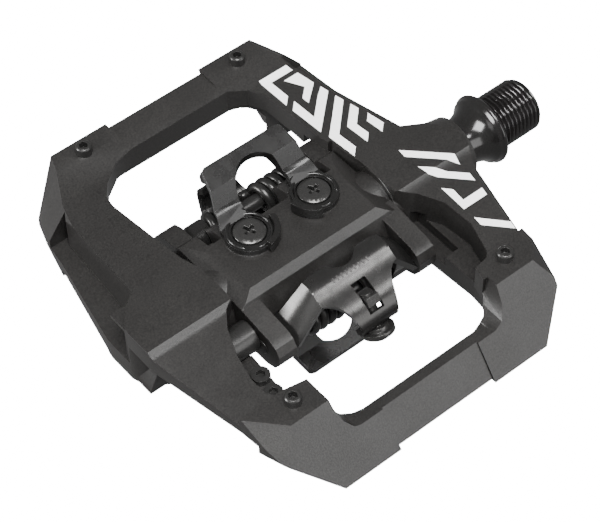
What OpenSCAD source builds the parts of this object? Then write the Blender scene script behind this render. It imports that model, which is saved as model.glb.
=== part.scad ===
// Platform clipless pedal, left-hand side, two-sided binding.
// Millimetres. +X runs along the spindle toward the crank, +Y is forward on the
// top side, +Z is up. The origin is on the spindle axis at the shoulder face
// that seats against the crank arm.

/* [Platform] */
// distance from the shoulder face to the middle of the platform
plat_x = 60.7; // [50:0.1:70]
// half length of the platform, front to rear
half_len = 55.3; // [45:0.1:65]
// half thickness of the platform at the pads
half_thk = 8; // [6:0.5:12]
// extra height of the crest over the axle
crest = 1.1; // [0:0.1:3]
// inner edge of the front and rear bars
bar_in = 45.4; // [40:0.1:50]
// clear half width between the side arms at the axle
arm_in = 24.6; // [22:0.1:30]

/* [Traction pins] */
// thread radius of a traction pin
pin_r = 2.0; // [1.5:0.1:3]
// height a pin stands proud of its pad
pin_proud = 2.4; // [1:0.1:5]
// hex key size of the traction pins
pin_hex = 2.0; // [1.5:0.5:3]

/* [Binding] */
// half width of the binding body
body_half = 23.8; // [20:0.1:25]
// hoop screw spacing from the middle
screw_u = 9.7; // [7:0.1:12]
// hoop screw position ahead of the axle
screw_y = 4.4; // [2:0.1:8]
// screw head radius
head_r = 4.0; // [3:0.1:5]
// claw pivot distance behind the axle
claw_y = 17.5; // [16:0.1:26]
// claw pivot height
claw_z = 0; // [-3:0.1:3]
// claw pin radius
claw_pin_r = 1.9; // [1.5:0.1:3]
// torsion spring wire radius
wire_r = 1.25; // [0.6:0.05:1.5]

/* [Spindle] */
// thread major radius, 9/16 in x 20 TPI
thread_r = 7.14; // [7.14:0.01:7.14]
// thread length
thread_len = 13.5; // [10:0.5:16]
// thread pitch
pitch = 1.27; // [1.27:0.01:1.27]
// shoulder flange radius
flange_r = 9.4; // [8:0.1:11]
// neck radius
neck_r = 6.2; // [5:0.1:7]
// journal radius under the bushing
journal_r = 5; // [4:0.1:6]
// radius under the cartridge bearings
tail_r = 4; // [3:0.1:5]
// bore radius of the housing
bore_r = 6.2; // [5:0.1:7]
// running clearance of sliding fits
run = 0.03; // [0.01:0.01:0.1]

/* [Display] */
// which node to draw

/* [Hidden] */
$fn = 48;
z1 = half_thk;
crest_z = half_thk + crest;
tube_r = 7.6;

// plan outline of the upper plate, measured from the middle of the platform
top_outline = [[-30.6, half_len], [-31.5, 50], [-38.8, 38], [-40.8, 8.6], [-44.4, 6],
  [-48.0, 2.0], [-48.6, 0], [-48.6, -9], [-43.6, -34.5], [-42.6, -42], [-40.9, -48.4],
  [-30.6, -half_len], [30.6, -half_len], [39.6, -48.4], [40.8, -33.5], [45.6, -12.5],
  [49.4, -5.5], [49.5, -1.5], [45.2, 4.5], [38.9, 8.4], [34.3, 40.6], [32.6, 51],
  [30.6, half_len]];
// clear area between the arms, without the edge of the front crank side deck
open_common = [[-14, bar_in], [-19.5, 44.2], [-24.4, 40.8], [-27.4, 37], [-27.9, 33.5],
  [-27.3, 25], [-26.7, 16.2], [-26, 8.8], [-24.6, 4], [-24.6, -7.5], [-27.2, -9],
  [-30, -13], [-32.8, -20], [-34.2, -27], [-34, -31.5], [-32, -34.3], [-25.4, -35.5],
  [-25.4, -41], [-23.6, -43.6], [-20, -bar_in], [16, -bar_in], [20.5, -43.8],
  [23.2, -40.5], [24.4, -36.2], [28.4, -35.6], [31, -33], [33.4, -25], [32.6, -16.6],
  [29.2, -10.4], [24.8, -7.3], [24.8, 5]];
top_opening = concat(open_common, [[24.2, 10], [22.9, 17.6], [22.8, 30], [22.4, 38.6],
  [20.4, 42.8], [15.6, bar_in]]);
bottom_opening = concat(open_common, [[25.4, 12], [26.3, 20], [26.5, 33.5], [25.9, 38],
  [24.2, 41], [20.6, 43.4], [15.6, bar_in]]);
// side profile of the arms
arm_profile = [[half_len, z1], [50, z1], [42, z1 - 1.8], [8, crest_z - 0.3],
  [-7.8, crest_z], [-9.9, crest_z - 1.3], [-34.4, z1 - 2.2], [-34.4, z1],
  [-43, z1], [-half_len, -z1], [-50, -z1], [-42, 1.8 - z1], [-8, 0.3 - crest_z],
  [7.8, -crest_z], [9.9, 1.3 - crest_z], [34.4, 2.2 - z1], [34.4, -z1],
  [43, -z1]];

function flip_y(p) = [for (i = [len(p) - 1:-1:0]) [p[i][0], -p[i][1]]];

module at_platform() {
  translate([-plat_x, 0, 0])
    children();
}

module underside() {
  rotate([180, 0, 0])
    children();
}

module slab(points, z_low, z_high) {
  translate([0, 0, z_low])
    linear_extrude(height = z_high - z_low)
      polygon(points);
}

// extrude a (y, z) section along X
module along_x(points, x_low, x_high) {
  translate([x_low, 0, 0])
    rotate([90, 0, 90])
      linear_extrude(height = x_high - x_low)
        polygon(points);
}

module x_cyl(radius, x_low, x_high, y = 0, z = 0) {
  translate([x_low, y, z])
    rotate([0, 90, 0])
      cylinder(h = x_high - x_low, r = radius);
}

module hex_socket(across, depth) {
  translate([0, 0, -depth])
    cylinder(h = depth + 1, r = across / sqrt(3), $fn = 6);
}

// ---------------------------------------------------------------- cage

module plate_pair(thick) {
  slab(top_outline, z1 - thick, crest_z + 1);
  slab(flip_y(top_outline), -crest_z - 1, thick - z1);
}

module cage_blank() {
  intersection() {
    along_x(arm_profile, -60, 60);
    union() {
      plate_pair(4.8);
      intersection() {
        slab(top_outline, -12, 12);
        slab(flip_y(top_outline), -12, 12);
      }
      // the crank side plates are half the full thickness
      for (side = [0, 180])
        rotate([side, 0, 0])
          intersection() {
            slab(flip_y(top_outline), -12, 0);
            translate([20, -60, -12])
              cube([60, 120, 12]);
          }
      // the four corners are full height
      for (side = [0, 180])
        rotate([side, 0, 0])
          intersection() {
            slab(top_outline, -12, 12);
            union() {
              translate([-60, -60, -12])
                cube([60, 20, 24]);
              translate([0, -60, -12])
                cube([60, 14, 24]);
            }
          }
    }
  }
}

// relief of the front bar between the pads
module bar_relief() {
  along_x([[40, z1 - 0.6], [54.3, z1 - 0.6], [53.8, z1 - 1.2], [41.8, -z1 - 1],
    [60, -z1 - 1], [60, 12], [40, 12]], -14.3, 14.3);
}

// lowered inner face of the rear bar, seen from the upper side
module bar_step() {
  intersection() {
    along_x([[-40, 14], [-40, 0.2], [-bar_in, 0.2], [-48.7, 0.6], [-48.7, 14]], -30, 30);
    rotate([90, 0, 0])
      translate([0, 0, 30])
        linear_extrude(height = 30)
          polygon([[-25.6, 12], [-25.2, 6], [-24.2, 3], [-22.4, 1], [-20, 0.4],
            [-18, -3], [16, -3], [19, 0.4], [22.2, 1.4], [24, 4], [24.6, 8],
            [24.8, 12]]);
  }
}

// remove everything beyond a plane through p with outward normal n
module cut_beyond(p, n) {
  translate(p)
    rotate([0, acos(n[2] / norm(n)), atan2(n[1], n[0])])
      translate([-40, -40, 0])
        cube([80, 80, 40]);
}

// bevelled corners, one end of the upper side
module corner_facets() {
  for (m = [0, 1])
    mirror([m, 0, 0]) {
      cut_beyond([-36.2, -42.8, z1], [-0.51, -0.477, 0.717]);
      cut_beyond([-30.6, half_len, z1], [-0.756, 0.273, 0.595]);
    }
}

module scoop(points) {
  slab(points, -1, 14);
}

// undercut below the inner edge of the crank side deck
module deck_undercut() {
  translate([20, 9.5, -1])
    cube([10.5, 14.7, 5]);
}

// sloping wall that closes the outer end between the two plates
module end_wall() {
  rotate([90, 0, 0])
    translate([0, 0, -2.5])
      linear_extrude(height = 9.3)
        polygon([[-48.3, -8.2], [-48.0, -6.6], [-46.4, -3.4], [-45.0, 0.4],
          [-44.4, 4], [-40, 4], [-40, -8.2]]);
}

// cradle for the body bolt beside the arm
module bolt_cradle() {
  x_cyl(4.15, -31.7, -24, bolt_y, bolt_z);
}

module pad_drop(u, y) {
  translate([u, y, z1 - pin_deep])
    cylinder(h = 12, r = pin_r);
}

module cage() {
  color([0.13, 0.12, 0.115])
    at_platform()
      difference() {
        union() {
          difference() {
            union() {
              cage_blank();
              for (side = [0, 180])
                rotate([side, 0, 0])
                  end_wall();
            }
            for (side = [0, 180])
              rotate([side, 0, 0]) {
                scoop(side == 0 ? top_opening : bottom_opening);
                bar_relief();
                bar_step();
                corner_facets();
                deck_undercut();
                bolt_cradle();
              }
          }
          // axle bosses joining the arms to the housing tube
          x_cyl(9.0, -44.5, -arm_in);
          x_cyl(9.0, arm_in, 46);
          translate([45.9, 0, 0])
            rotate([0, 90, 0])
              cylinder(h = 5.1, r1 = 9.0, r2 = 8.2);
        }
        x_cyl(tube_r, -44.6, 60);
        // seat of the binding body
        translate([-24.2, -15.4, -9])
          cube([48.4, 30.8, 18]);
        for (side = [0, 180])
          rotate([side, 0, 0]) {
            for (p = pin_at)
              pad_drop(p[0], p[1]);
          }
        for (side = [0, 180])
          rotate([side, 0, 0])
            for (p = cage_screw_at)
              translate([p[0], p[1], -5])
                cylinder(h = 6, r = 1.5);
      }
}

// traction pins of one side, then the two cage screws of one side
pin_at = [[-23.6, 51.2], [23.6, 51.2], [-31.6, -38.3], [31.6, -38.3]];
pin_deep = 2.6;
cage_screw_at = [[-29.2, -23.6], [-30.0, -29.2]];
// axis of the barrel bolts beside the outer arm
bolt_y = -13.6;
bolt_z = 1.0;

module traction_pin(u, y) {
  translate([u, y, z1 + pin_proud])
    difference() {
      union() {
        translate([0, 0, -0.4])
          cylinder(h = 0.4, r1 = pin_r, r2 = pin_r - 0.4);
        translate([0, 0, -pin_proud - pin_deep])
          cylinder(h = pin_proud + pin_deep - 0.4, r = pin_r);
      }
      hex_socket(pin_hex, 1.8);
    }
}

module pins_side() {
  at_platform()
    for (p = pin_at)
      traction_pin(p[0], p[1]);
}

module traction_pins_top() {
  color([0.2, 0.19, 0.18])
    pins_side();
}

module traction_pins_bottom() {
  color([0.2, 0.19, 0.18])
    underside()
      pins_side();
}

module cage_screws() {
  color([0.25, 0.24, 0.23])
    at_platform()
      for (side = [0, 180])
        rotate([side, 0, 0])
          for (p = cage_screw_at)
            translate([p[0], p[1], 0.6])
              difference() {
                union() {
                  translate([0, 0, -1.6])
                    cylinder(h = 1.6, r = 2.3);
                  translate([0, 0, -5.6])
                    cylinder(h = 4.2, r = 1.5);
                }
                hex_socket(2, 1.2);
              }
}

// ---------------------------------------------------------------- binding body

module lug_pair() {
  for (u = [-body_half, 18.6])
    difference() {
      union() {
        along_x([[-7, 6.5], [-9.9, 6.2], [-20.5, 4.8], [-22.5, 3.8], [-23.7, 1.6],
          [-23.5, -1.4], [-22, -3.6], [-19, -4.8], [-7, -5]], u, u + 5.2);
        x_cyl(3.8, u, u + 5.2, -claw_y, claw_z);
      }
      x_cyl(claw_pin_r, u - 1, u + 7, -claw_y, claw_z);
    }
}

module binding_body() {
  color([0.12, 0.11, 0.105])
    at_platform()
      difference() {
        union() {
          intersection() {
            along_x([[-9.9, 7.0], [-7.8, 8.5], [6, 8.3], [13.4, 6.6], [15.2, 4.6],
              [9.9, -7.0], [7.8, -8.5], [-6, -8.3], [-13.4, -6.6], [-15.2, -4.6]],
              -body_half, body_half);
            rotate([90, 0, 0])
              translate([0, 0, -30])
                linear_extrude(height = 60)
                  polygon([[-23.8, 6.2], [-18.4, 9], [17.6, 9], [23.8, 5.6],
                    [23.8, -6.2], [18.4, -9], [-17.6, -9], [-23.8, -5.6]]);
          }
          x_cyl(tube_r, -44.6, 47);
          for (side = [0, 180])
            rotate([side, 0, 0]) {
              lug_pair();
              for (s = [-1, 1])
                translate([s * screw_u, screw_y, 0])
                  cylinder(h = 8.6, r = 6.2);
            }
        }
        x_cyl(bore_r, -60, 60);
        for (side = [0, 180])
          rotate([side, 0, 0]) {
            for (s = [-1, 1])
              translate([s * screw_u, screw_y, 6.6])
                cylinder(h = 6, r = 2.0);
            x_cyl(1.8, -30, -18.8, bolt_y, bolt_z);
            // room for the coils and claw cheeks, and a notch under the hoop
            x_cyl(5.1, -18.6, 18.6, -claw_y, claw_z);
            translate([-5.6, 8.3, -1])
              cube([11.2, 9, 12]);
            for (s = [-1, 1])
              translate([s * 16.6 - 1.9, 8.6, 2])
                cube([3.8, 9, 12]);
          }
      }
}

// ---------------------------------------------------------------- hoops

// plan of the hoop plate: front band and sloping legs
hoop_plan = [[-10.4, 20.2], [-11.7, 19.2], [-12.6, 14.9], [-14.8, 8.8], [-15.6, 4.4],
  [-9.7, -1.6], [-4.4, 2], [-4.4, 8], [4.4, 8], [4.4, 2], [9.7, -1.6], [15.6, 4.4],
  [14.8, 8.8], [12.6, 14.9], [11.7, 19.2], [10.4, 20.2]];

module hoop_shape() {
  at_platform()
    difference() {
      union() {
        // bent plate: base, joggle, steep leg and band
        intersection() {
          union() {
            slab(hoop_plan, 8, 22);
            for (s = [-1, 1])
              translate([s * screw_u, screw_y, 8])
                cylinder(h = 3, r = 6.1);
          }
          along_x([[-3, 8.6], [9.5, 8.6], [11.6, 11.0], [13.4, 11.7], [15.8, 16.0],
            [20.6, 18.1], [20.6, 19.0], [19.6, 19.7], [14.6, 17.3], [12.4, 13.0],
            [10.9, 12.4], [8.8, 10.2], [-3, 10.2]], -17, 17);
        }
        // curved horn on the inner side of each screw
        for (s = [-1, 1])
          intersection() {
            translate([s * screw_u, screw_y, 8.6])
              difference() {
                cylinder(h = 3.0, r = 7.3);
                translate([0, 0, -1])
                  cylinder(h = 6, r = 5.9);
              }
            translate([s * screw_u, screw_y, 8])
              rotate([0, 0, s > 0 ? 180 : 0])
                linear_extrude(height = 5)
                  polygon([[0, 0], [4, 10], [12, 10], [12, -10], [1, -10]]);
          }
      }
      // round mouth between the legs
      translate([0, 10.4, 7])
        cylinder(h = 16, r = 6.9);
      for (s = [-1, 1])
        translate([s * screw_u, screw_y, 4]) {
          cylinder(h = 12, r = 2.0);
          translate([0, 0, 5.3])
            cylinder(h = 12, r = head_r + 0.35);
        }
    }
}

module hoop_top() {
  color([0.1, 0.095, 0.09])
    hoop_shape();
}

module hoop_bottom() {
  color([0.1, 0.095, 0.09])
    underside()
      hoop_shape();
}

module hoop_screws() {
  at_platform()
    for (s = [-1, 1])
      translate([s * screw_u, screw_y, 0])
        difference() {
          union() {
            translate([0, 0, 9.3])
              cylinder(h = 1.0, r = head_r);
            translate([0, 0, 10.3])
              cylinder(h = 0.5, r1 = head_r, r2 = head_r - 1.1);
            translate([0, 0, 6.9])
              cylinder(h = 2.6, r = 2.0);
          }
          for (a = [20, 110])
            translate([0, 0, 10.2])
              rotate([0, 0, a])
                cube([3.2, 0.9, 2], center = true);
        }
}

module hoop_screws_top() {
  color([0.22, 0.21, 0.2])
    hoop_screws();
}

module hoop_screws_bottom() {
  color([0.22, 0.21, 0.2])
    underside()
      hoop_screws();
}

// ---------------------------------------------------------------- claws

// plan of the claw: two jaw wings, notch between them, arches and spine
claw_plan = [[-18.2, -16.2], [-12, -16.6], [-9.4, -15.4], [-5.8, -15.4], [-4.4, -16.4],
  [-2.4, -17.8], [0, -18.2], [2.4, -17.8], [4.4, -16.4], [5.8, -15.4], [9.4, -15.4],
  [12, -16.6], [18.2, -16.2], [18.2, -24], [11.6, -23.5], [9.2, -24.3], [7.5, -26.1],
  [6.4, -28.6], [5.5, -31.6], [-5.5, -31.6], [-6.4, -28.6], [-7.5, -26.1],
  [-9.2, -24.3], [-11.6, -23.5], [-18.2, -24]];

module claw_shape() {
  at_platform()
    difference() {
      union() {
        // shell from the jaw edge down to the tension screw
        intersection() {
          slab(claw_plan, -3, 20);
          along_x([[-15.2, 11.6], [-16.2, 12.4], [-20, 12.6], [-22.4, 11.2],
            [-26.5, 8.8], [-29.8, 6.8], [-31.2, 5.2], [-31.5, 3.4], [-31.0, 1.4],
            [-28.2, 0.1], [-28.0, 3.0], [-26, 5.6], [-22.6, 7.6], [-19, 10.0],
            [-15.2, 10.6]], -19, 19);
        }
        // cheeks down to the pivot
        for (s = [-1, 1])
          along_x([[-16.2, 11], [-18, 12.2], [-21, 12], [-23.4, 9.6], [-22.6, 4],
            [-21.6, 0], [-13.6, 0], [-15.6, 5]],
            s > 0 ? 12.4 : -18.2, s > 0 ? 18.2 : -12.4);
        for (s = [-1, 1])
          x_cyl(4.6, s > 0 ? 12.6 : -18.2, s > 0 ? 18.2 : -12.6, -claw_y, claw_z);
      }
      x_cyl(claw_pin_r + run, -30, 30, -claw_y, claw_z);
      // room for the coils
      x_cyl(5.2, -12.4, 12.4, -claw_y, claw_z);
      // sloped ends
      for (s = [-1, 1])
        cut_beyond([s * 11.2, -17, 12.2], [s * 0.787, -0.094, 0.617]);
      // window over the tension nut
      along_x([[-22.6, 14], [-22.6, 6], [-28.2, 3.6], [-29.9, 4.4], [-30.2, 14]],
        -2.3, 2.3);
      tension_axis()
        translate([0, 0, -6])
          cylinder(h = 18, r = 1.5 + run);
    }
}

module tension_axis() {
  translate([0, -29.6, 0.75])
    rotate([-25, 0, 0])
      children();
}

module claw_top() {
  color([0.2, 0.19, 0.18])
    claw_shape();
}

module claw_bottom() {
  color([0.2, 0.19, 0.18])
    underside()
      claw_shape();
}

module claw_pin() {
  at_platform()
    x_cyl(claw_pin_r, -24.0, 24.0, -claw_y, claw_z);
}

module claw_pin_top() {
  color([0.16, 0.15, 0.145])
    claw_pin();
}

module claw_pin_bottom() {
  color([0.16, 0.15, 0.145])
    underside()
      claw_pin();
}

module spring_coils() {
  at_platform() {
    for (s = [-1, 1])
      for (i = [0:3])
        translate([s * (3.3 + i * 2.48), -claw_y, claw_z])
          rotate([0, 90, 0])
            rotate_extrude()
              translate([3.4, 0])
                circle(r = wire_r, $fn = 24);
    // wire bridge joining the two sets of coils
    x_cyl(0.8, -10, 10, -claw_y, claw_z - 3.4);
  }
}

module claw_spring_top() {
  color([0.1, 0.1, 0.1])
    spring_coils();
}

module claw_spring_bottom() {
  color([0.1, 0.1, 0.1])
    underside()
      spring_coils();
}

module tension_screw() {
  at_platform()
    tension_axis()
      difference() {
        union() {
          translate([0, 0, -3.3])
            cylinder(h = 1.1, r1 = 2.6, r2 = 4.1);
          translate([0, 0, -2.2])
            cylinder(h = 1.2, r = 4.1);
          translate([0, 0, -1.1])
            cylinder(h = 1.05, r = 2.8);
          translate([0, 0, -0.6])
            cylinder(h = 9.6, r = 1.5);
        }
        translate([0, 0, -3.8])
          cylinder(h = 1.7, r = 1.5, $fn = 6);
      }
}

module tension_screw_top() {
  color([0.22, 0.21, 0.2])
    tension_screw();
}

module tension_screw_bottom() {
  color([0.22, 0.21, 0.2])
    underside()
      tension_screw();
}

module tension_nut() {
  at_platform()
    tension_axis()
      translate([0, 0, 6.2])
        difference() {
          translate([-1.8, -2.4, 0])
            cube([3.6, 4.6, 2.4]);
          translate([0, 0, -1])
            cylinder(h = 5, r = 1.5 + run);
        }
}

module tension_nut_top() {
  color([0.5, 0.48, 0.42])
    tension_nut();
}

module tension_nut_bottom() {
  color([0.5, 0.48, 0.42])
    underside()
      tension_nut();
}

// ---------------------------------------------------------------- spindle

module spindle() {
  color([0.07, 0.068, 0.065])
    difference() {
      union() {
        rotate([0, 90, 0])
          rotate_extrude($fn = 96)
            polygon([[0, 13.5], [6.2, 13.5], [6.9, 12.9], [6.9, 1.0], [6.4, 0.4],
              [6.4, -0.4], [7.4, -0.4], [7.4, 0], [9.0, 0], [flange_r, -0.4], [flange_r, -1.1], [8.9, -1.5], [8.7, -2.4],
              [7.6, -3.4], [6.7, -5.4], [neck_r, -8], [neck_r, -14.5],
              [journal_r, -15.5], [journal_r, -60], [tail_r, -61], [tail_r, -99.4],
              [3.0, -99.8], [3.0, -104.4], [0, -104.4]]);
        for (i = [0:8])
          translate([1.2 + i * pitch, 0, 0])
            rotate([0, 90, 0])
              cylinder(h = pitch * 0.55, r = thread_r);
      }
      translate([thread_len, 0, 0])
        rotate([0, 90, 0])
          translate([0, 0, -7])
            cylinder(h = 8, r = 3 / cos(30), $fn = 6);
    }
}

module ring(r_in, r_out, x_low, x_high) {
  translate([x_low, 0, 0])
    rotate([0, 90, 0])
      difference() {
        cylinder(h = x_high - x_low, r = r_out);
        translate([0, 0, -1])
          cylinder(h = x_high - x_low + 2, r = r_in);
      }
}

module inner_seal() {
  color([0.05, 0.05, 0.05])
    ring(neck_r + run, 7.6, -13.6, -12.2);
}

module bushing() {
  color([0.55, 0.42, 0.2])
    ring(journal_r + run, bore_r, -34, -18);
}

bearing_x = [-87, -94];
module bearing_outer_races() {
  color([0.6, 0.6, 0.6])
    for (x = bearing_x)
      difference() {
        ring(5.55, bore_r, x, x + 3.5);
        translate([x + 1.75, 0, 0])
          rotate([0, 90, 0])
            rotate_extrude()
              translate([5.1, 0])
                circle(r = 0.8, $fn = 24);
      }
}

module bearing_inner_races() {
  color([0.6, 0.6, 0.6])
    for (x = bearing_x)
      difference() {
        ring(tail_r, 4.65, x, x + 3.5);
        translate([x + 1.75, 0, 0])
          rotate([0, 90, 0])
            rotate_extrude()
              translate([5.1, 0])
                circle(r = 0.8, $fn = 24);
      }
}

module bearing_balls() {
  color([0.75, 0.75, 0.75])
    for (x = bearing_x)
      for (a = [0:30:330])
        translate([x + 1.75, 5.1 * cos(a), 5.1 * sin(a)])
          sphere(r = 0.75, $fn = 20);
}

module thrust_washer() {
  color([0.5, 0.5, 0.5])
    ring(tail_r, 4.6, -99.2, -98.6);
}

module lock_nut() {
  color([0.45, 0.45, 0.45])
    translate([-103.2, 0, 0])
      rotate([0, 90, 0])
        difference() {
          cylinder(h = 3.2, r = 5.0, $fn = 6);
          translate([0, 0, -1])
            cylinder(h = 6, r = 3.0);
        }
}

// collar that holds the spindle and its bearings in the housing
module retaining_collar() {
  color([0.1, 0.1, 0.1])
    ring(journal_r + 0.4, bore_r, -17.8, -16.2);
}

module body_bolt() {
  at_platform() {
    x_cyl(1.8, -24.6, -18.9, bolt_y, bolt_z);
    difference() {
      x_cyl(4.0, -31.4, -24.3, bolt_y, bolt_z);
      translate([-31.4, bolt_y, bolt_z])
        rotate([0, -90, 0])
          hex_socket(4, 3);
    }
  }
}

module body_bolts() {
  color([0.16, 0.15, 0.145]) {
    body_bolt();
    underside()
      body_bolt();
  }
}

cage();
traction_pins_top();
traction_pins_bottom();
cage_screws();
binding_body();
hoop_top();
hoop_bottom();
hoop_screws_top();
hoop_screws_bottom();
claw_top();
claw_bottom();
claw_pin_top();
claw_pin_bottom();
claw_spring_top();
claw_spring_bottom();
tension_screw_top();
tension_screw_bottom();
tension_nut_top();
tension_nut_bottom();
spindle();
inner_seal();
bushing();
bearing_outer_races();
bearing_balls();
bearing_inner_races();
lock_nut();
thrust_washer();
retaining_collar();
body_bolts();
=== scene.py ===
import math
import bpy
import bmesh
from mathutils import Matrix, Vector


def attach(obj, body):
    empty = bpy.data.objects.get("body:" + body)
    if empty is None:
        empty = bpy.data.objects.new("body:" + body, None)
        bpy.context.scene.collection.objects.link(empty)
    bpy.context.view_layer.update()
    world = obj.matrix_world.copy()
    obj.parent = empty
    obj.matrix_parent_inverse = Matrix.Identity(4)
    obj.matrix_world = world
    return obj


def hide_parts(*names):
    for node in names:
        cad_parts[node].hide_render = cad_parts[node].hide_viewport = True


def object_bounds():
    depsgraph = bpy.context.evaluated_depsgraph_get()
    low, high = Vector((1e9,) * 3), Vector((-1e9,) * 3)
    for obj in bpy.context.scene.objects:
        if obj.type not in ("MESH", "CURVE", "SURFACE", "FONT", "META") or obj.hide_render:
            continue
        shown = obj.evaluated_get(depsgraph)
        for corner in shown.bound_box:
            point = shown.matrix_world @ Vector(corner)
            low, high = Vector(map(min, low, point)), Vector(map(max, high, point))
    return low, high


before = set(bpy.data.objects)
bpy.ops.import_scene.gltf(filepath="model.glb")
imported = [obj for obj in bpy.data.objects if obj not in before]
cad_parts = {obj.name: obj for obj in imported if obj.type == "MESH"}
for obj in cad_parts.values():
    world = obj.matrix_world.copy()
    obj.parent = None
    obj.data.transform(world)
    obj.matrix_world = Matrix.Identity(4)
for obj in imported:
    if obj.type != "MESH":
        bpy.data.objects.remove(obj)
cad_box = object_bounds()

MM = 0.001
PX = -60.7          # middle of the platform along the spindle, mm


# ------------------------------------------------------------------ camera
def make_camera():
    az, el, roll = math.radians(-38.4), math.radians(51.0), math.radians(-1.3)
    back = Vector((math.sin(az) * math.cos(el), -math.cos(az) * math.cos(el), math.sin(el)))
    right = Vector((0, 0, 1)).cross(back).normalized()
    up = back.cross(right)
    r2 = right * math.cos(roll) + up * math.sin(roll)
    u2 = up * math.cos(roll) - right * math.sin(roll)
    cam = bpy.data.cameras.new("camera")
    cam.sensor_width = 36.0
    cam.lens = 126.4
    cam.clip_start = 0.01
    obj = bpy.data.objects.new("camera", cam)
    m = Matrix((
        (r2.x, u2.x, back.x, -256.3 * MM),
        (r2.y, u2.y, back.y, -248.8 * MM),
        (r2.z, u2.z, back.z, 386.4 * MM),
        (0, 0, 0, 1)))
    obj.matrix_world = m
    bpy.context.collection.objects.link(obj)
    bpy.context.scene.camera = obj


# ------------------------------------------------------------------ nodes
class Mat:
    """Small helper round one node tree with a Principled shader."""

    def __init__(self, name, color, rough, metal=0.0):
        self.m = bpy.data.materials.new(name)
        self.m.use_nodes = True
        self.t = self.m.node_tree
        self.b = self.t.nodes["Principled BSDF"]
        self.b.inputs["Base Color"].default_value = (*color, 1)
        self.b.inputs["Roughness"].default_value = rough
        self.b.inputs["Metallic"].default_value = metal
        tc = self.t.nodes.new("ShaderNodeTexCoord")
        self.co = tc.outputs["Object"]
        self.height = None

    def node(self, kind, **kw):
        n = self.t.nodes.new(kind)
        for k, v in kw.items():
            setattr(n, k, v)
        return n

    def link(self, a, b):
        self.t.links.new(a, b)

    def noise(self, scale, detail=3.0, rough=0.5):
        n = self.node("ShaderNodeTexNoise")
        n.inputs["Scale"].default_value = scale
        n.inputs["Detail"].default_value = detail
        n.inputs["Roughness"].default_value = rough
        self.link(self.co, n.inputs["Vector"])
        return n.outputs["Fac"]

    def ramp(self, fac, stops):
        r = self.node("ShaderNodeValToRGB")
        e = r.color_ramp.elements
        while len(e) < len(stops):
            e.new(0.5)
        for el, (p, c) in zip(e, stops):
            el.position = p
            el.color = (*c, 1) if len(c) == 3 else c
        self.link(fac, r.inputs["Fac"])
        return r.outputs["Color"]

    def maprange(self, fac, a, b, c, d):
        n = self.node("ShaderNodeMapRange")
        n.inputs["From Min"].default_value = a
        n.inputs["From Max"].default_value = b
        n.inputs["To Min"].default_value = c
        n.inputs["To Max"].default_value = d
        self.link(fac, n.inputs["Value"])
        return n.outputs["Result"]

    def mix(self, fac, a, b, mode="MIX"):
        n = self.node("ShaderNodeMix", data_type="RGBA", blend_type=mode)
        if isinstance(fac, float):
            n.inputs[0].default_value = fac
        else:
            self.link(fac, n.inputs[0])
        for i, v in ((6, a), (7, b)):
            if isinstance(v, tuple):
                n.inputs[i].default_value = (*v, 1)
            else:
                self.link(v, n.inputs[i])
        return n.outputs[2]

    def color(self, out):
        self.link(out, self.b.inputs["Base Color"])

    def rough(self, out):
        self.link(out, self.b.inputs["Roughness"])

    def bump(self, out, dist, strength=1.0):
        n = self.node("ShaderNodeBump")
        n.inputs["Strength"].default_value = strength
        n.inputs["Distance"].default_value = dist
        self.link(out, n.inputs["Height"])
        if self.height is not None:
            self.link(self.height, n.inputs["Normal"])
        self.height = n.outputs["Normal"]
        self.link(self.height, self.b.inputs["Normal"])


def mat_anodised():
    """Near-black bead-blasted anodising: fine grain that glints on the chamfers."""
    m = Mat("anodised", (0.012, 0.0115, 0.011), 0.40, 0.15)
    fine = m.noise(2600, 3.0, 0.65)
    broad = m.noise(60, 3.0)
    base = m.ramp(fine, [(0.32, (0.0065, 0.006, 0.0058)), (0.70, (0.020, 0.019, 0.0178))])
    tone = m.ramp(broad, [(0.3, (0.86, 0.86, 0.87)), (0.7, (1.0, 1.0, 1.0))])
    m.color(m.mix(1.0, base, tone, "MULTIPLY"))
    m.rough(m.maprange(broad, 0.3, 0.7, 0.34, 0.42))
    m.bump(fine, 0.00006, 0.6)
    return m.m


def mat_black_steel(name="black_steel", base=0.012, rough=0.2, metal=0.4):
    """Glossy black coat over steel."""
    m = Mat(name, (base, base * 0.96, base * 0.92), rough, metal)
    m.b.inputs["Coat Weight"].default_value = 0.2
    m.b.inputs["Coat Roughness"].default_value = 0.15
    peel = m.noise(300, 2.0)
    fine = m.noise(2400, 2.0)
    m.color(m.ramp(fine, [(0.3, (base * 0.8, base * 0.77, base * 0.74)),
                          (0.75, (base * 1.4, base * 1.35, base * 1.3))]))
    m.rough(m.maprange(peel, 0.3, 0.7, rough * 0.85, rough * 1.2))
    m.bump(peel, 0.00001, 0.25)
    return m.m


def mat_steel(name, base, rough, metal=0.9):
    """Plated or oiled steel with a fine satin grain."""
    m = Mat(name, (base, base, base), rough, metal)
    n = m.noise(2400, 3.0, 0.6)
    soft = m.noise(300, 2.0)
    m.color(m.ramp(n, [(0.3, (base * 0.85, base * 0.83, base * 0.81)),
                       (0.7, (base * 1.12, base * 1.1, base * 1.07))]))
    m.rough(m.maprange(soft, 0.3, 0.7, rough * 0.88, rough * 1.15))
    m.bump(n, 0.00001, 0.3)
    return m.m


def mat_polymer(name, color, rough):
    """Matt moulded plastic or rubber."""
    m = Mat(name, color, rough, 0.0)
    n = m.noise(1500, 2.0)
    dark = tuple(c * 0.85 for c in color)
    m.color(m.ramp(n, [(0.3, dark), (0.7, color)]))
    m.bump(n, 0.00002, 0.5)
    return m.m


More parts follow.
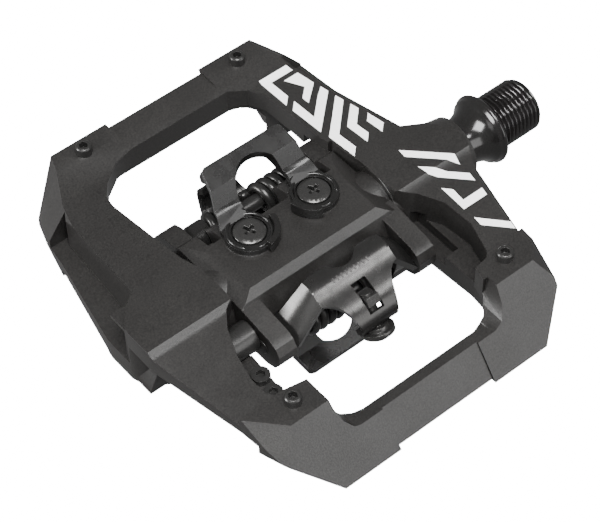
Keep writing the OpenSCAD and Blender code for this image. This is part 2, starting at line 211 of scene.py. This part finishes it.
def mat_white_print():
    """White pad-printed ink that follows the blasted grain."""
    m = Mat("white_print", (0.92, 0.92, 0.91), 0.5, 0.0)
    n = m.noise(2400, 2.0, 0.6)
    m.color(m.ramp(n, [(0.25, (0.86, 0.86, 0.855)), (0.6, (0.95, 0.95, 0.945))]))
    m.bump(n, 0.00002, 0.4)
    return m.m


# ------------------------------------------------------------------ floor, lights
def area(name, loc, aim, size, power):
    """A square soft light turned toward a point; metres and watts."""
    d = bpy.data.lights.new(name, "AREA")
    d.energy = power
    d.size = size
    o = bpy.data.objects.new(name, d)
    o.location = loc
    o.rotation_euler = (Vector(aim) - Vector(loc)).to_track_quat("-Z", "Y").to_euler()
    bpy.context.collection.objects.link(o)
    return o


def make_stage():
    bpy.ops.mesh.primitive_plane_add(size=6, location=(0, 0, cad_box[0][2] - 0.0002))
    floor = bpy.context.object
    floor.name = "floor"
    m = Mat("floor_white", (0.9, 0.9, 0.9), 0.8)
    n = m.noise(8, 2.0)
    m.color(m.ramp(n, [(0.3, (0.90, 0.90, 0.90)), (0.7, (0.91, 0.91, 0.91))]))
    m.b.inputs["Emission Color"].default_value = (1, 1, 1, 1)
    m.b.inputs["Emission Strength"].default_value = 16.0
    floor.data.materials.append(m.m)
    # the bright floor is seen, but does not light the underside
    floor.visible_diffuse = False
    floor.visible_glossy = False
    w = bpy.data.worlds.new("world")
    bpy.context.scene.world = w
    w.use_nodes = True
    w.node_tree.nodes["Background"].inputs["Color"].default_value = (1, 1, 1, 1)
    w.node_tree.nodes["Background"].inputs["Strength"].default_value = 0.38
    c = (PX * MM, 0, 0)

    def beside(x, y, z, far=1.0):
        """A point in the given direction from the middle of the platform."""
        return (c[0] + x * far, c[1] + y * far, c[2] + z * far)

    # each light sits where one family of faces mirrors it to the camera
    area("crest_light", beside(0.42, -0.45, 0.79), c, 0.16, 2.6)
    area("facet_light", beside(-0.86, 0.47, 0.24), c, 0.36, 16.0)
    area("rear_light", beside(0.35, -0.86, 0.30), c, 0.6, 5.0)
    area("top_light", beside(-0.25, -0.35, 1.0), c, 0.6, 36.0)
    area("left_light", beside(-0.9, -0.3, 0.35), c, 0.5, 2.0)


# ------------------------------------------------------------------ CAD nodes
def refine(node, width, material, angle=28, segments=2):
    """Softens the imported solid's edges and gives it its material."""
    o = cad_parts[node]
    w = o.modifiers.new("weld", "WELD")
    w.merge_threshold = 1e-5
    d = o.modifiers.new("flat", "DECIMATE")
    d.decimate_type = "DISSOLVE"
    d.angle_limit = math.radians(0.6)
    b = o.modifiers.new("bevel", "BEVEL")
    b.width = width * MM
    b.segments = segments
    b.limit_method = "ANGLE"
    b.angle_limit = math.radians(angle)
    b.harden_normals = False
    b.use_clamp_overlap = True
    n = o.modifiers.new("normals", "WEIGHTED_NORMAL")
    n.keep_sharp = False
    n.weight = 80
    paint(o, material)
    return o


def paint(o, material):
    if not o.data.materials:
        o.data.materials.append(material)
    for i in range(len(o.material_slots)):
        o.material_slots[i].material = material


# ------------------------------------------------------------------ mesh pieces
def at(u, y, z):
    """Platform millimetres to metres in the row frame."""
    return ((u + PX) * MM, y * MM, z * MM)


def turned(p):
    """The same point on the lower side, half a turn about the spindle."""
    return (p[0], -p[1], -p[2])


def new_mesh(name, verts, faces, material, body, smooth=True):
    me = bpy.data.meshes.new(name)
    me.from_pydata([tuple(v) for v in verts], [], faces)
    me.validate()
    bm = bmesh.new()
    bm.from_mesh(me)
    bmesh.ops.remove_doubles(bm, verts=bm.verts, dist=1e-6)
    bmesh.ops.recalc_face_normals(bm, faces=bm.faces)
    bm.to_mesh(me)
    bm.free()
    for p in me.polygons:
        p.use_smooth = smooth
    o = bpy.data.objects.new(name, me)
    bpy.context.collection.objects.link(o)
    o.data.materials.append(material)
    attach(o, body)
    return o


def tube(path, radius, sides=14):
    """Round wire along a list of points (mm), with domed ends."""
    pts = [Vector(p) for p in path]
    tang = []
    for i in range(len(pts)):
        a, b = pts[max(0, i - 1)], pts[min(len(pts) - 1, i + 1)]
        tang.append((b - a).normalized())
    n = tang[0].orthogonal().normalized()
    verts, faces = [], []
    rings = [(pts[0] - tang[0] * radius * 0.55, tang[0], radius * 0.55)]
    rings += [(p, t, radius) for p, t in zip(pts, tang)]
    rings.append((pts[-1] + tang[-1] * radius * 0.55, tang[-1], radius * 0.55))
    for c, t, r in rings:
        n = (n - t * n.dot(t)).normalized()
        b = t.cross(n)
        for k in range(sides):
            a = 2 * math.pi * k / sides
            verts.append(c + n * r * math.cos(a) + b * r * math.sin(a))
    for i in range(len(rings) - 1):
        for k in range(sides):
            k2 = (k + 1) % sides
            faces.append((i * sides + k, i * sides + k2, (i + 1) * sides + k2, (i + 1) * sides + k))
    faces.append(tuple(range(sides))[::-1])
    last = (len(rings) - 1) * sides
    faces.append(tuple(last + k for k in range(sides)))
    return verts, faces


# ------------------------------------------------------------------ springs
COIL_R, WIRE_R, COIL_PITCH = 3.35, 1.2, 2.45
CLAW_Y = -17.5


def spring_half(s):
    """One side of the double torsion spring: coils, a leg and half the bridge."""
    turns, steps = 3.5, 28
    path = []
    u0 = 3.3
    # bridge leg, rising toward the tension nut
    path.append((s * 0.5, CLAW_Y - 3.4, -0.2))
    path.append((s * 2.2, CLAW_Y - COIL_R - 0.05, -0.1))
    for i in range(int(turns * steps) + 1):
        a = math.pi + 2 * math.pi * i / steps
        path.append((s * (u0 + COIL_PITCH * i / steps), CLAW_Y + COIL_R * math.cos(a),
                     COIL_R * math.sin(a)))
    # straight leg resting on the body
    u1 = s * (u0 + COIL_PITCH * turns)
    path.append((u1, CLAW_Y + COIL_R + 0.1, -1.3))
    return path


def make_springs():
    for side in ("top", "bottom"):
        verts, faces = [], []
        for s in (1, -1):
            v, f = tube(spring_half(s), WIRE_R)
            k = len(verts)
            verts += [Vector(at(*p)) for p in v]
            faces += [tuple(i + k for i in q) for q in f]
        if side == "bottom":
            verts = [Vector(turned(p)) for p in verts]
        o = new_mesh("torsion_spring_" + side, verts, faces, M_SPRING, "pedal_body")
        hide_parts("claw_spring_" + side)


# ------------------------------------------------------------------ spindle
def make_spindle():
    """Turned profile with a left-hand helical thread and a 6 mm hex socket."""
    pitch, r_major, r_minor = 1.27, 7.14, 6.42
    n = 96
    outer = [(-104.4, 0.0), (-104.4, 2.7), (-104.1, 3.0), (-99.8, 3.0), (-99.4, 4.0), (-61.0, 4.0),
             (-60.0, 5.0), (-15.5, 5.0), (-14.6, 6.1), (-14.3, 6.2), (-8.2, 6.2), (-7.2, 6.32),
             (-6.2, 6.5), (-5.2, 6.78), (-4.2, 7.2), (-3.4, 7.65), (-2.8, 8.15), (-2.4, 8.6),
             (-2.1, 8.8), (-1.6, 8.9), (-1.25, 9.15), (-1.05, 9.36), (-0.8, 9.4), (-0.5, 9.38),
             (-0.2, 9.2), (0.0, 8.95), (0.0, 7.5), (-0.05, 7.4), (-0.4, 7.4), (-0.4, 6.45),
             (0.4, 6.4)]
    rows = [(x, [r] * n) for x, r in outer]
    steps = int((13.3 - 0.6) / (pitch / 12))
    for i in range(steps + 1):
        x = 0.6 + (13.3 - 0.6) * i / steps
        ring = []
        for k in range(n):
            ph = (x / pitch + k / n) % 1.0
            tri = 1 - abs(2 * ph - 1)
            h = min(1.0, max(0.0, (tri - 0.1) / 0.72))
            top = r_major
            if x < 1.6:
                top = r_minor + (r_major - r_minor) * (x - 0.6)
            if x > 12.5:
                top = r_major - (x - 12.5) * 0.95
            low = min(r_minor, top)
            ring.append(low + (top - low) * h)
        rows.append((x, ring))

    def hexr(across):
        out = []
        for k in range(n):
            a = (2 * math.pi * k / n) % (math.pi / 3) - math.pi / 6
            out.append(across / 2 / math.cos(a))
        return out

    rows.append((13.5, [5.95] * n))
    rows.append((13.5, [4.2] * n))
    rows.append((13.45, [v + 0.25 for v in hexr(6.0)]))
    rows.append((13.1, hexr(6.0)))
    rows.append((6.6, hexr(6.0)))
    rows.append((6.4, [1.0] * n))
    verts, faces = [], []
    for x, ring in rows:
        for k, r in enumerate(ring):
            a = 2 * math.pi * k / n
            verts.append((x * MM, r * math.cos(a) * MM, r * math.sin(a) * MM))
    for i in range(len(rows) - 1):
        for k in range(n):
            k2 = (k + 1) % n
            faces.append((i * n + k, i * n + k2, (i + 1) * n + k2, (i + 1) * n + k))
    faces.append(tuple((len(rows) - 1) * n + k for k in range(n)))
    o = new_mesh("threaded_spindle", verts, faces, M_SPINDLE, "spindle_group")
    sharpen(o, 38)
    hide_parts("spindle")


def sharpen(o, angle):
    """Edges sharper than the angle stay crisp; the rest shade smooth."""
    bm = bmesh.new()
    bm.from_mesh(o.data)
    lim = math.radians(angle)
    for e in bm.edges:
        if len(e.link_faces) == 2 and e.calc_face_angle() > lim:
            e.smooth = False
    bm.to_mesh(o.data)
    bm.free()


# ------------------------------------------------------------------ claws
# outer profile of the claw shell (y, z): jaw, saddle, spine and rolled lower end
CLAW_LINE = ((-15.3, 11.4), (-15.7, 11.9), (-16.4, 12.25), (-17.6, 12.4), (-19.2, 12.3),
             (-20.6, 11.7), (-21.8, 10.9), (-23.2, 10.2), (-25.2, 9.4), (-27.2, 8.5),
             (-28.9, 7.4), (-30.2, 6.1), (-31.0, 4.7), (-31.4, 3.3), (-31.2, 2.0),
             (-30.4, 1.0), (-29.2, 0.5))
CLAW_FRONT = ((0, -18.9), (1.5, -18.7), (2.8, -18.0), (3.8, -17.0), (4.8, -16.0),
              (5.8, -15.45), (7.0, -15.3), (8.6, -15.45), (9.6, -16.0), (10.6, -16.5),
              (12.0, -16.7), (18.2, -16.7))
CLAW_REAR = ((5.2, 40.0), (5.45, -31.3), (5.8, -30.2), (6.3, -28.8), (6.9, -27.3),
             (7.7, -25.9), (8.7, -24.8), (9.9, -24.0), (11.4, -23.6), (18.2, -23.6))
CLAW_WALL = 1.45
FACET_U, FACET_SLOPE = 11.2, 1.275


def along(table, x):
    """Straight-line value of a table of (x, value) pairs."""
    if x <= table[0][0]:
        return table[0][1]
    for (x0, y0), (x1, y1) in zip(table, table[1:]):
        if x <= x1:
            return y0 + (y1 - y0) * (x - x0) / (x1 - x0)
    return table[-1][1]


def make_claw_shell():
    """Bent shell as outer points (mm) and quads, with the window left open."""
    line = [Vector((0, y, z)) for y, z in CLAW_LINE]
    # smooth the profile by corner cutting
    for _ in range(2):
        cut = [line[0]]
        for p, q in zip(line, line[1:]):
            cut += [p.lerp(q, 0.25), p.lerp(q, 0.75)]
        line = cut + [line[-1]]
    dist = [0.0]
    for p, q in zip(line, line[1:]):
        dist.append(dist[-1] + (q - p).length)
    total = dist[-1]

    def point(d):
        d = min(max(d, 0.0), total)
        for i in range(len(line) - 1):
            if d <= dist[i + 1]:
                return line[i].lerp(line[i + 1], (d - dist[i]) / max(1e-9, dist[i + 1] - dist[i]))
        return line[-1]

    def where(y):
        """Distance along the profile at which it first reaches y."""
        for i in range(len(line) - 1):
            if line[i].y >= y >= line[i + 1].y:
                return dist[i] + (dist[i + 1] - dist[i]) * (line[i].y - y) / (
                    line[i].y - line[i + 1].y)
        return total if y < -31 else 0.0

    half = [0, 0.7, 1.4, 2.1, 2.6, 3.1, 3.6, 4.1, 4.6, 5.2, 5.3, 5.45, 5.6, 5.8, 6.05, 6.3, 6.6,
            6.9, 7.3, 7.7, 8.2, 8.7, 9.3, 9.9, 10.6, 11.2, 11.7, 12.4, 13.4, 14.6, 15.8, 17.0, 18.2]
    cols = [-u for u in half[:0:-1]] + half
    saddle = where(-21.8)
    upper, lower = 9, 26
    window = (where(-22.9), where(-30.2))
    verts, faces = [], []
    for u in cols:
        w = abs(u)
        start = where(along(CLAW_FRONT, w))
        rear = along(CLAW_REAR, w)
        end = total if rear > 0 else where(max(rear, -31.39))
        if 5.2 < w < 5.45:
            end = total + (where(-31.3) - total) * (w - 5.2) / 0.25
        for i in range(upper + lower + 1):
            d = start + (saddle - start) * i / upper if i <= upper else (
                saddle + (end - saddle) * (i - upper) / lower)
            p = point(d)
            past = max(0.0, w - FACET_U)
            ahead = 0.26 * past * max(0.0, 1 - i / upper)
            verts.append(Vector((u, p.y + ahead, p.z - past * FACET_SLOPE)))
    rows = upper + lower + 1
    for c in range(len(cols) - 1):
        for i in range(rows - 1):
            mid = abs(cols[c] + cols[c + 1]) / 2
            d = saddle + (total - saddle) * (i - upper + 0.5) / lower
            if mid < 2.1 and i >= upper and window[0] < d < window[1]:
                continue
            a = c * rows + i
            faces.append((a, a + rows, a + rows + 1, a + 1))
    return verts, faces


def thicken(verts, faces, wall):
    """Closed shell: the outer sheet, an inner sheet offset by the wall, and the rims."""
    bm = bmesh.new()
    vs = [bm.verts.new(v) for v in verts]
    for f in faces:
        bm.faces.new([vs[i] for i in f])
    bm.normal_update()
    if sum(f.normal.z * f.calc_area() for f in bm.faces) < 0:
        bmesh.ops.reverse_faces(bm, faces=bm.faces)
        bm.normal_update()
    loose = [v for v in bm.verts if not v.link_faces]
    bmesh.ops.delete(bm, geom=loose, context="VERTS")
    bm.verts.index_update()
    n = len(bm.verts)
    out_v = [v.co.copy() for v in bm.verts] + [v.co - v.normal * wall for v in bm.verts]
    out_f = [tuple(v.index for v in f.verts) for f in bm.faces]
    out_f += [tuple(i + n for i in reversed(f)) for f in out_f]
    for e in bm.edges:
        if len(e.link_faces) == 1:
            p, q = (v.index for v in e.verts)
            out_f.append((p, q, q + n, p + n))
    bm.free()
    return out_v, out_f


def claw_cheeks():
    """Side cheeks under the sloped ends, and a bored boss round the pivot pin."""
    side = ((-17.0, 9.0), (-18.0, 9.4), (-20.6, 8.8), (-22.4, 7.0), (-22.2, 4.0),
            (-21.2, 0.4), (-14.6, 0.4), (-16.4, 5.0))
    roof = sorted(CLAW_LINE)
    parts = []
    for s in (1, -1):
        verts = []
        for y, z in side:
            verts.append((s * 12.5, y, z))
        for y, z in side:
            reach = FACET_U + (along(roof, y) - z - 1.0) / FACET_SLOPE
            verts.append((s * min(17.9, max(12.6, reach)), y, z))
        k = len(side)
        faces = [tuple(range(k)), tuple(range(2 * k - 1, k - 1, -1))]
        faces += [(i, (i + 1) % k, k + (i + 1) % k, k + i) for i in range(k)]
        parts.append((verts, faces))
        verts, faces, n = [], [], 48
        for u, r in ((12.7, 2.1), (12.7, 3.6), (12.9, 3.8), (16.8, 3.8), (17.9, 3.0), (17.9, 2.1)):
            for j in range(n):
                a = 2 * math.pi * j / n
                verts.append((s * u, CLAW_Y + r * math.cos(a), r * math.sin(a)))
        for i in range(6):
            for j in range(n):
                j2 = (j + 1) % n
                i2 = (i + 1) % 6
                faces.append((i * n + j, i * n + j2, i2 * n + j2, i2 * n + j))
        parts.append((verts, faces))
    # a row of plain raised marks along the jaw
    for i in range(-4, 5):
        u, y = i * 1.25, -20.4
        b = [(u + du, y + dy, along(roof, y + dy) + dz) for du in (-0.2, 0.2)
             for dy in (-0.5, 0.5) for dz in (-0.3, 0.12)]
        parts.append((b, [(0, 1, 3, 2), (4, 6, 7, 5), (0, 4, 5, 1), (2, 3, 7, 6),
                          (0, 2, 6, 4), (1, 5, 7, 3)]))
    return parts


def make_claws():
    shell = thicken(*make_claw_shell(), CLAW_WALL)
    for side in ("top", "bottom"):
        verts, faces = [], []
        for v, f in [shell] + claw_cheeks():
            k = len(verts)
            verts += [Vector(at(*p)) for p in v]
            faces += [tuple(i + k for i in q) for q in f]
        if side == "bottom":
            verts = [Vector(turned(p)) for p in verts]
        o = new_mesh("claw_shell_" + side, verts, faces, M_CLAW, "claw_%s_body" % side)
        sharpen(o, 34)
        b = o.modifiers.new("bevel", "BEVEL")
        b.width = 0.22 * MM
        b.segments = 2
        b.limit_method = "ANGLE"
        b.angle_limit = math.radians(50)
        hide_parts("claw_" + side)


# hoop screw axis, and the rim round it: radius, height and thickness
SCREW_U, SCREW_Y = 9.7, 4.4
LIP_R, LIP_Z, LIP_WIRE = 5.35, 10.2, 0.42


def make_hoop_lips():
    """Raised rim round each screw seat of the hoops."""
    for side in ("top", "bottom"):
        verts, faces = [], []
        for s in (1, -1):
            ring = []
            for i in range(61):
                a = math.radians(-100 + 320 * i / 60) if s < 0 else math.radians(
                    -80 - 320 * i / 60)
                ring.append((s * SCREW_U + LIP_R * math.cos(a), SCREW_Y + LIP_R * math.sin(a), LIP_Z))
            v, f = tube(ring, LIP_WIRE, 10)
            k = len(verts)
            verts += [Vector(at(*p)) for p in v]
            faces += [tuple(i + k for i in q) for q in f]
        if side == "bottom":
            verts = [Vector(turned(p)) for p in verts]
        new_mesh("hoop_lips_" + side, verts, faces, M_BLACK, "pedal_body")


# ------------------------------------------------------------------ deck print
def deck_z(y):
    """Height of the upper deck at y, mm, from the side profile of the arms."""
    pts = [(55.3, 8.0), (50.0, 8.0), (42.0, 6.2), (8.0, 8.8), (-7.8, 9.1), (-9.9, 7.8),
           (-34.4, 5.8), (-34.41, 8.0), (-43.0, 8.0)]
    for (y0, z0), (y1, z1) in zip(pts, pts[1:]):
        if y1 <= y <= y0:
            return z0 + (z1 - z0) * (y0 - y) / (y0 - y1)
    return 8.0


# white chevrons and bars along the crank-side deck: corner points (u, y)
PRINT_SHAPES = (
    ((24.2, 43.4), (33.0, 43.4), (33.3, 41.2), (26.4, 41.2), (26.4, 34.6), (24.0, 32.2)),
    ((29.2, 39.6), (33.6, 39.6), (34.2, 34.0), (28.6, 29.2), (28.6, 31.6), (31.6, 34.4)),
    ((24.0, 29.8), (26.4, 32.2), (26.4, 24.4), (31.8, 29.6), (34.6, 31.8), (34.9, 29.2),
     (24.2, 19.2)),
    ((24.6, 16.6), (35.2, 26.8), (35.6, 24.2), (27.0, 15.6), (27.2, 9.6), (24.9, 7.4)),
    ((30.2, 16.4), (36.0, 22.0), (36.4, 19.4), (32.4, 15.4), (32.6, 11.2), (30.4, 9.0)),
    ((35.0, 14.6), (37.0, 16.6), (37.6, 11.4), (35.3, 9.2)),
    ((34.2, 2.0), (43.6, -7.6), (43.2, -10.2), (33.9, -0.6)),
    ((34.2, -5.0), (36.6, -7.4), (43.2, -13.6), (42.8, -16.0), (34.6, -8.2)),
    ((34.8, -12.8), (36.8, -14.8), (36.6, -18.6), (42.6, -18.6), (42.2, -20.8), (34.9, -20.8)),
    ((35.2, -24.0), (41.2, -30.2), (40.8, -32.4), (35.0, -26.6)),
)


def make_print():
    """A thin generic white pattern just above the upper deck."""
    verts, faces = [], []
    for shape in PRINT_SHAPES:
        flat = bmesh.new()
        flat.faces.new([flat.verts.new((u, y, 0)) for u, y in shape])
        bmesh.ops.triangulate(flat, faces=flat.faces)
        # cut across the deck so that the layer follows its profile
        for y in (42.0, 8.0, -7.8, -9.9):
            bmesh.ops.bisect_plane(flat, geom=flat.verts[:] + flat.edges[:] + flat.faces[:],
                                   plane_co=(0, y, 0), plane_no=(0, 1, 0), dist=1e-4)
        flat.verts.index_update()
        n = len(flat.verts)
        base = len(verts)
        for lift in (0.05, -0.05):
            verts += [at(v.co.x, v.co.y, deck_z(v.co.y) + lift) for v in flat.verts]
        for f in flat.faces:
            ring = [base + v.index for v in f.verts]
            faces.append(tuple(ring))
            faces.append(tuple(i + n for i in reversed(ring)))
        for e in flat.edges:
            if len(e.link_faces) == 1:
                p, q = (base + v.index for v in e.verts)
                faces.append((p, q, q + n, p + n))
        flat.free()
    new_mesh("deck_print", verts, faces, M_WHITE, "pedal_body", False)


make_camera()
make_stage()

M_CAGE = mat_anodised()
M_BLACK = mat_black_steel(base=0.008, rough=0.27)
M_SPINDLE = mat_black_steel("spindle_black", 0.010, 0.16)
M_PIN = mat_steel("pin_steel", 0.028, 0.30, metal=0.6)
M_SCREW = mat_steel("screw_steel", 0.05, 0.26, metal=0.75)
M_CLAW = mat_steel("cast_steel", 0.036, 0.25, metal=0.8)
M_SPRING = mat_steel("spring_steel", 0.028, 0.3, metal=0.7)
M_NUT = mat_steel("nut_metal", 0.10, 0.25)
M_BEAR = mat_steel("bearing_steel", 0.55, 0.2)
M_RUBBER = mat_polymer("seal_rubber", (0.012, 0.012, 0.012), 0.6)
M_BUSH = mat_polymer("bushing_polymer", (0.35, 0.26, 0.12), 0.5)
M_CAP = mat_polymer("cap_polymer", (0.02, 0.02, 0.02), 0.5)
M_WHITE = mat_white_print()

refine("cage", 0.75, M_CAGE, segments=3)
refine("binding_body", 0.6, M_CAGE, segments=3)
for side in ("top", "bottom"):
    refine("traction_pins_" + side, 0.12, M_PIN)
    refine("hoop_" + side, 0.4, M_BLACK, segments=3)
    refine("hoop_screws_" + side, 0.15, M_SCREW)
    refine("claw_pin_" + side, 0.3, M_PIN)
    refine("tension_screw_" + side, 0.2, M_SCREW)
    refine("tension_nut_" + side, 0.2, M_NUT)
refine("cage_screws", 0.15, M_PIN)
refine("body_bolts", 0.25, M_PIN)
refine("inner_seal", 0.1, M_RUBBER)
refine("bushing", 0.1, M_BUSH)
for n in ("bearing_outer_races", "bearing_inner_races", "bearing_balls", "lock_nut", "thrust_washer"):
    refine(n, 0.08, M_BEAR, angle=50)
refine("retaining_collar", 0.15, M_CAP)
make_springs()
make_spindle()
make_claws()
make_hoop_lips()
make_print()
